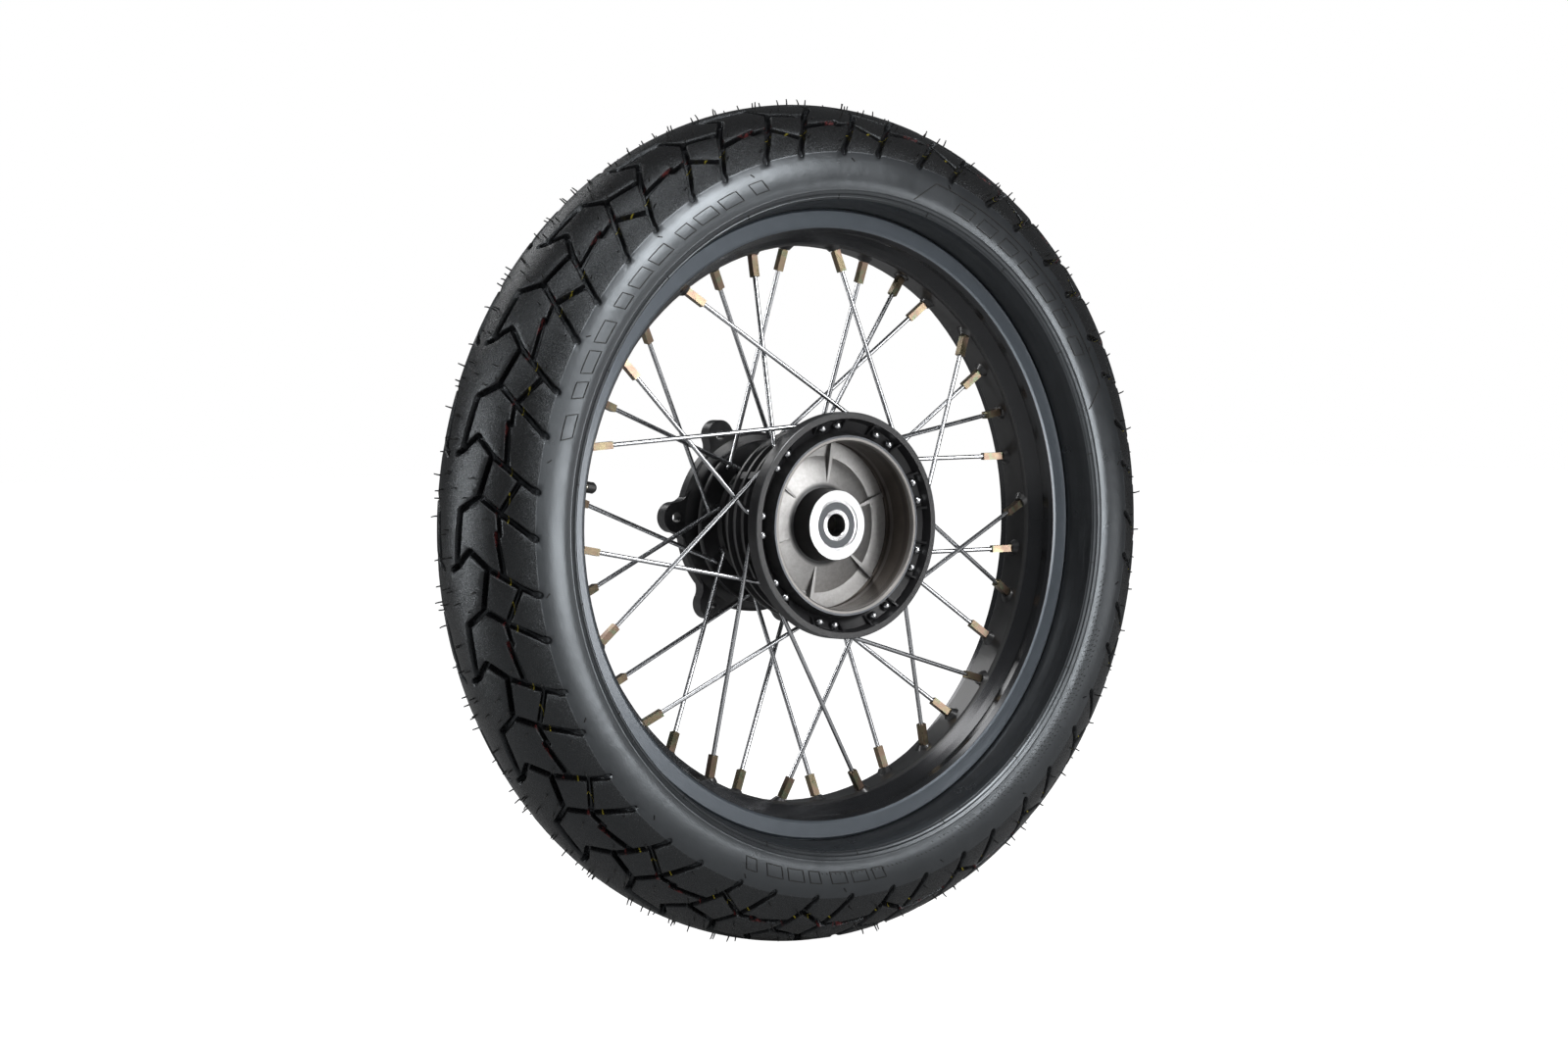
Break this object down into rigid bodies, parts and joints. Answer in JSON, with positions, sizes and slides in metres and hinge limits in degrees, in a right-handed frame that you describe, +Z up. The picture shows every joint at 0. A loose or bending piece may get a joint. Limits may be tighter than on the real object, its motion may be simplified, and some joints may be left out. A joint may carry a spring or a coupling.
{
  "type": "spoked wheel",
  "caption": "Spoked motorcycle rear wheel: grooved tyre on a laced rim, finned drum-brake hub, and a lobed sprocket carrier on a rubber cush drive.",
  "frame": {"origin": "wheel centre, on the axle axis in the middle plane of the tyre and rim", "axes": "+Y along the axle from the brake-drum side to the sprocket side, +Z up, +X forward"},
  "size_m": [0.6492, 0.1492, 0.6492],
  "materials": {
    "tread_rubber": "matt with a fine moulded sheen",
    "tube_rubber": "matt",
    "rim_finish": "dark anodised, satin",
    "valve_brass": "plated",
    "cap_plastic": "satin",
    "hub_casting": "satin black paint, machined faces bright",
    "drum_iron": "turned",
    "spoke_steel": "zinc plated",
    "nipple_plate": "zinc plated, yellow passivated",
    "bearing_steel": "ground",
    "seal_rubber": "satin",
    "spacer_steel": "turned",
    "carrier_casting": "satin black paint"
  },
  "bodies": {
    "axle_parts": {"bearing_spacer": "spacer_steel", "drum_bearing_inner_race": "bearing_steel", "hub_bearing_inner_race": "bearing_steel", "carrier_bearing_inner_race": "bearing_steel", "carrier_spacer": "spacer_steel", "carrier_collar": "spacer_steel"},
    "wheel": {"tyre": "tread_rubber", "inner_tube": "tube_rubber", "rim": "rim_finish", "rim_strap": "tube_rubber", "valve_stem": "valve_brass", "valve_nut": "valve_brass", "hub_shell": "hub_casting", "brake_drum_liner": "drum_iron", "spokes_drum_leading": "spoke_steel", "spokes_drum_trailing": "spoke_steel", "spokes_sprocket_leading": "spoke_steel", "spokes_sprocket_trailing": "spoke_steel", "nipples_drum_leading": "nipple_plate", "nipples_drum_trailing": "nipple_plate", "nipples_sprocket_leading": "nipple_plate", "nipples_sprocket_trailing": "nipple_plate", "drum_bearing_outer_race": "bearing_steel", "drum_bearing_seals": "seal_rubber", "hub_bearing_outer_race": "bearing_steel", "hub_bearing_seals": "seal_rubber", "cush_rubbers": "tube_rubber"},
    "carrier": {"sprocket_carrier": "carrier_casting", "carrier_bearing_outer_race": "bearing_steel", "carrier_bearing_seals": "seal_rubber", "carrier_oil_seal": "seal_rubber"},
    "cap": {"valve_cap": "cap_plastic"},
    "drum_bearing_cage": {"drum_bearing_balls": "bearing_steel"},
    "hub_bearing_cage": {"hub_bearing_balls": "bearing_steel"},
    "carrier_bearing_cage": {"carrier_bearing_balls": "bearing_steel"}
  },
  "joints": [
    {"name": "wheel_spin", "type": "hinge", "parent": "axle_parts", "child": "wheel", "pos_m": [0, 0, 0], "axis": [0, 1, 0], "continuous": true},
    {"name": "cush_flex", "type": "hinge", "parent": "wheel", "child": "carrier", "pos_m": [0, 0.068, 0], "axis": [0, 1, 0], "range_deg": [-3, 3], "stiffness_Nm_per_rad": 60, "deforming": ["cush_rubbers"]},
    {"name": "valve_cap_off", "type": "slide", "parent": "wheel", "child": "cap", "axis": [0.9882, 0, -0.153], "range_m": [0, 0.012]},
    {"name": "drum_bearing_balls_roll", "type": "hinge", "parent": "axle_parts", "child": "drum_bearing_cage", "pos_m": [0, -0.0353, 0], "axis": [0, 1, 0], "continuous": true},
    {"name": "hub_bearing_balls_roll", "type": "hinge", "parent": "axle_parts", "child": "hub_bearing_cage", "pos_m": [0, 0.028, 0], "axis": [0, 1, 0], "continuous": true},
    {"name": "carrier_bearing_balls_roll", "type": "hinge", "parent": "axle_parts", "child": "carrier_bearing_cage", "pos_m": [0, 0.068, 0], "axis": [0, 1, 0], "continuous": true}
  ],
  "couplings": [
    {"joint": "drum_bearing_balls_roll", "follows": "wheel_spin", "ratio": 0.6175},
    {"joint": "hub_bearing_balls_roll", "follows": "wheel_spin", "ratio": 0.6175},
    {"joint": "carrier_bearing_balls_roll", "follows": "wheel_spin", "ratio": 0.6175}
  ]
}
